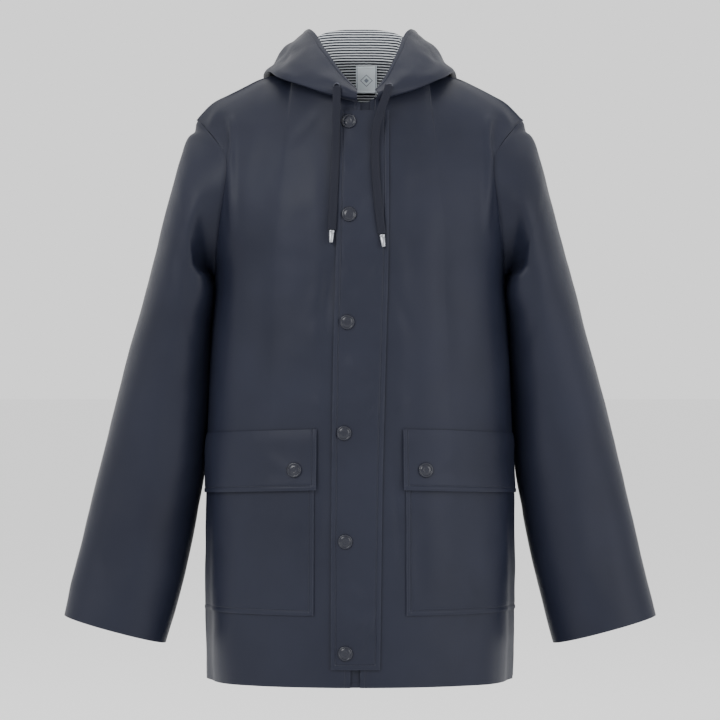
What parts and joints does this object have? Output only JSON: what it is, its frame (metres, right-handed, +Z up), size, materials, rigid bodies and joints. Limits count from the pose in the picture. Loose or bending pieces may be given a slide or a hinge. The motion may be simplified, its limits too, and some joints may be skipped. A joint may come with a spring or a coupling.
{
  "type": "hooded raincoat",
  "caption": "Hip-length hooded raincoat in dark coated cotton, filled out as worn: storm flap with snaps, flap pockets, straight sleeves, hood lying back with striped lining and drawcords",
  "frame": {"origin": "midway between the two points where the shoulder seams meet the neck seam, where the wearer's shoulders carry the coat", "axes": "+Z up along the coat, -Y the way the front faces, +X the wearer's left"},
  "size_m": [0.6906, 0.3312, 0.7662],
  "materials": {
    "coated_cotton": "dark navy cotton with a matte-satin waterproof coating",
    "striped_jersey": "navy and white striped cotton jersey lining",
    "snap_lacquer": "dark navy lacquered press-stud caps",
    "braid": "flat dark navy braid",
    "tip_metal": "satin metal cord tips and eyelet rims",
    "label_satin": "pale grey-blue woven label with a plain motif"
  },
  "bodies": {
    "root": {"front_left": "coated_cotton", "front_right": "coated_cotton", "back": "coated_cotton", "sleeve_left": "coated_cotton", "sleeve_right": "coated_cotton", "hood_side_left": "coated_cotton", "hood_side_right": "coated_cotton", "hood_centre": "coated_cotton", "storm_flap": "coated_cotton", "pocket_left": "coated_cotton", "pocket_right": "coated_cotton", "pocket_flap_left": "coated_cotton", "pocket_flap_right": "coated_cotton", "lining_hood_side_left": "striped_jersey", "lining_hood_side_right": "striped_jersey", "lining_hood_centre": "striped_jersey", "lining_back_neck": "striped_jersey", "snap_1": "snap_lacquer", "snap_2": "snap_lacquer", "snap_3": "snap_lacquer", "snap_4": "snap_lacquer", "snap_5": "snap_lacquer", "snap_6": "snap_lacquer", "pocket_snap_left": "snap_lacquer", "pocket_snap_right": "snap_lacquer", "drawcord_left": "braid", "drawcord_right": "braid", "cord_tip_left": "tip_metal", "cord_tip_right": "tip_metal", "eyelet_left": "tip_metal", "eyelet_right": "tip_metal", "label": "label_satin"}
  },
  "joints": []
}
